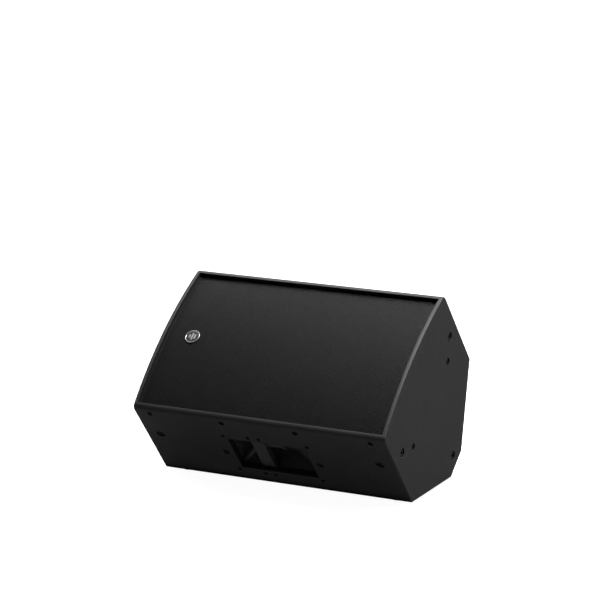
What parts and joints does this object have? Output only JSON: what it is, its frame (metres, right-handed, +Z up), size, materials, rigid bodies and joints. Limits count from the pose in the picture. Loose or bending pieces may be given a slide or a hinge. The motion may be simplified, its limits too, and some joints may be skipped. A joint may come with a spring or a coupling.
{
  "type": "stage monitor loudspeaker",
  "caption": "Wedge-shaped stage monitor with a curved perforated grille, recessed carrying handle, turning badge and a coaxial driver.",
  "frame": {"origin": "middle of the bounding box, at the underside of the rubber feet", "axes": "+X along the cabinet, to the end away from the badge; +Y to the rear, away from the listener; +Z up. The grille faces -Y and +Z."},
  "size_m": [0.6, 0.437, 0.4177],
  "materials": {
    "coating": "black textured coating over plywood",
    "bare_ply": "unfinished plywood",
    "grille": "black powder-coated perforated steel",
    "foam": "open-cell acoustic foam",
    "badge": "gloss black",
    "badge_ring": "bright satin ring",
    "cast": "black powder-coated casting",
    "plastic": "fine moulded texture",
    "steel": "black fastener finish",
    "plated": "zinc plated",
    "ferrite": "dull ground ferrite",
    "paper": "coated paper",
    "cloth": "impregnated cloth",
    "copper": "enamelled copper wire",
    "board": "solder-masked board",
    "rubber": "black rubber",
    "wadding": "polyester wadding"
  },
  "bodies": {
    "cabinet": {"end_panel_right": "coating", "end_panel_left": "coating", "handle_side_panel": "coating", "top_side_panel": "coating", "floor_panel": "coating", "rear_panel": "coating", "spine_panel": "coating", "baffle_board": "coating", "window_brace": "bare_ply", "damping_pad": "wadding", "grille_sheet": "grille", "grille_foam": "foam", "woofer_basket": "cast", "handle_grip": "cast", "woofer_surround": "rubber", "bass_inductor": "copper", "treble_inductor": "copper", "woofer_spider": "cloth", "magnet_top_plate": "plated", "magnet_yoke": "plated", "hf_diaphragm": "plated", "woofer_magnet": "ferrite", "hf_magnet": "ferrite", "hf_horn": "plastic", "hf_cover": "plastic", "port_tube_left": "plastic", "port_tube_right": "plastic", "pole_socket": "plastic", "handle_cup": "plastic", "jack_dish": "plastic", "jack_socket_1": "plastic", "jack_socket_2": "plastic", "capacitor_large": "plastic", "capacitor_small": "plastic", "front_plug_1": "steel", "front_plug_2": "steel", "front_plug_3": "steel", "front_plug_4": "steel", "top_plug_1": "steel", "top_plug_2": "steel", "right_plug_1": "steel", "right_plug_2": "steel", "right_plug_3": "steel", "right_plug_4": "steel", "right_plug_5": "steel", "left_plug_1": "steel", "left_plug_2": "steel", "left_plug_3": "steel", "left_plug_4": "steel", "left_plug_5": "steel", "rubber_foot_1": "rubber", "rubber_foot_2": "rubber", "rubber_foot_3": "rubber", "rubber_foot_4": "rubber", "crossover_board": "board"},
    "cone": {"woofer_cone": "paper", "voice_coil": "copper"},
    "badge": {"badge_disc": "badge", "badge_ring": "badge_ring", "badge_clip": "plated"}
  },
  "joints": [
    {"name": "cone_travel", "type": "slide", "parent": "cabinet", "child": "cone", "axis": [0, -0.6295, 0.777], "range_m": [-0.004, 0.004], "stiffness_N_per_m": 6000, "deforming": ["woofer_surround", "woofer_spider"]},
    {"name": "badge_turn", "type": "hinge", "parent": "cabinet", "child": "badge", "pos_m": [-0.229, -0.07896, 0.30816], "axis": [0, -0.6295, 0.777], "range_deg": [-90, 90]}
  ]
}
